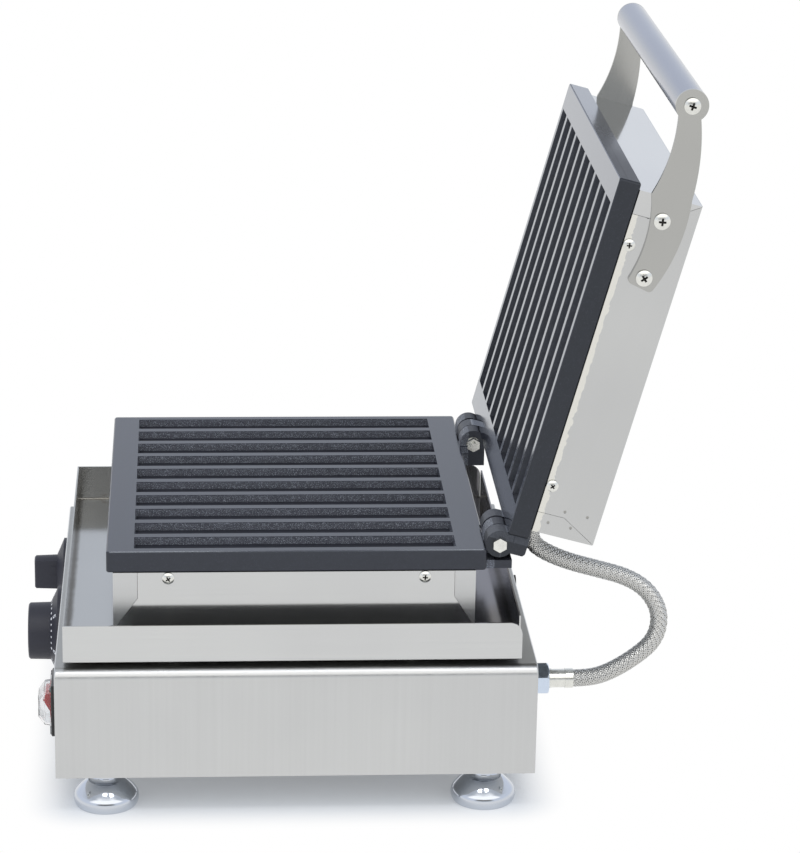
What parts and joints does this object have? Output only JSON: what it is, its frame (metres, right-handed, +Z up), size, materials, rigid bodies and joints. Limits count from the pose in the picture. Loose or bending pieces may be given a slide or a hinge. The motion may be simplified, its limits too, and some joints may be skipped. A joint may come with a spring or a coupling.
{
  "type": "panini press",
  "caption": "Countertop panini press with ribbed cast plates, a hinged lid with a bar handle, a drip tray and a sheet-steel base with a timer, a thermostat and a switch.",
  "frame": {"origin": "on the floor, in the middle of the opened press from side to side and from the front of the knobs to the back of the handle", "axes": "+Z up, -Y towards the user and the controls, +Y towards the hinge, +X to the user's right"},
  "size_m": [0.3728, 0.5128, 0.5669],
  "materials": {
    "panel_steel": "satin sheet steel of the base",
    "tray_steel": "satin",
    "box_steel": "satin",
    "arm_steel": "satin",
    "tube_steel": "polished",
    "foot_chrome": "polished",
    "plate_iron": "matt grey enamel over cast iron",
    "zinc_steel": "zinc plated",
    "hose_braid": "braided wire over a flexible core",
    "element_alloy": "dull",
    "insulation_board": "matt fibre board",
    "knob_plastic": "matt",
    "bezel_plastic": "satin",
    "rocker_red": "gloss",
    "cover_clear": "clear and flexible",
    "control_plastic": "moulded switch bodies",
    "bushing_nylon": "matt",
    "terminal_ceramic": "glazed"
  },
  "bodies": {
    "base": {"base_housing": "panel_steel", "bottom_cover": "panel_steel", "cover_screws": "zinc_steel", "foot_bolts": "zinc_steel", "foot_nuts": "zinc_steel", "drip_tray": "tray_steel", "tray_spacers": "zinc_steel", "plate_pillars": "zinc_steel", "pillar_bolts": "zinc_steel", "pillar_nuts": "zinc_steel", "cable_sleeve": "zinc_steel", "lower_plate": "plate_iron", "hinge_bolts": "zinc_steel", "hinge_washers": "zinc_steel", "hinge_nuts": "zinc_steel", "timer_body": "control_plastic", "thermostat_body": "control_plastic", "control_nuts": "zinc_steel", "switch_body": "bezel_plastic", "switch_cover": "cover_clear", "terminal_block": "terminal_ceramic", "cord_bushing": "bushing_nylon", "hose_nut": "zinc_steel", "hose_locknut": "zinc_steel", "hose_ferrule": "zinc_steel", "lid_hose": "hose_braid", "foot_front_left": "foot_chrome", "foot_front_right": "foot_chrome", "foot_back_left": "foot_chrome", "foot_back_right": "foot_chrome", "lower_box_shell": "box_steel", "lower_box_front_panel": "box_steel", "lower_box_back_panel": "box_steel", "lower_box_screws": "zinc_steel", "lower_element": "element_alloy", "lower_clamp_plate": "zinc_steel", "lower_insulation": "insulation_board", "lower_clamp_bolts": "zinc_steel"},
    "lid": {"upper_plate": "plate_iron", "upper_box_shell": "box_steel", "upper_box_front_panel": "box_steel", "upper_box_back_panel": "box_steel", "upper_box_screws": "zinc_steel", "upper_element": "element_alloy", "upper_clamp_plate": "zinc_steel", "upper_insulation": "insulation_board", "upper_clamp_bolts": "zinc_steel", "handle_arm_right": "arm_steel", "handle_arm_left": "arm_steel", "handle_tube": "tube_steel", "arm_screws": "zinc_steel", "arm_nuts": "zinc_steel", "tube_screws": "zinc_steel", "lid_hose_fitting": "zinc_steel", "lid_hose_locknut": "zinc_steel"},
    "timer_dial": {"timer_knob": "knob_plastic", "timer_shaft": "zinc_steel"},
    "thermostat_dial": {"thermostat_knob": "knob_plastic", "thermostat_shaft": "zinc_steel"},
    "rocker": {"switch_rocker": "rocker_red"}
  },
  "joints": [
    {"name": "lid_hinge", "type": "hinge", "parent": "base", "child": "lid", "pos_m": [0, 0.11283, 0.2107], "axis": [1, 0, 0], "range_deg": [0, 105], "deforming": ["lid_hose"]},
    {"name": "timer_turn", "type": "hinge", "parent": "base", "child": "timer_dial", "pos_m": [-0.005, -0.24117, 0.0757], "axis": [0, 1, 0], "range_deg": [0, 300]},
    {"name": "thermostat_turn", "type": "hinge", "parent": "base", "child": "thermostat_dial", "pos_m": [-0.1375, -0.24117, 0.0757], "axis": [0, 1, 0], "range_deg": [0, 300]},
    {"name": "rocker_tilt", "type": "hinge", "parent": "base", "child": "rocker", "pos_m": [0.1405, -0.22497, 0.0757], "axis": [-1, 0, 0], "range_deg": [0, 14]}
  ]
}
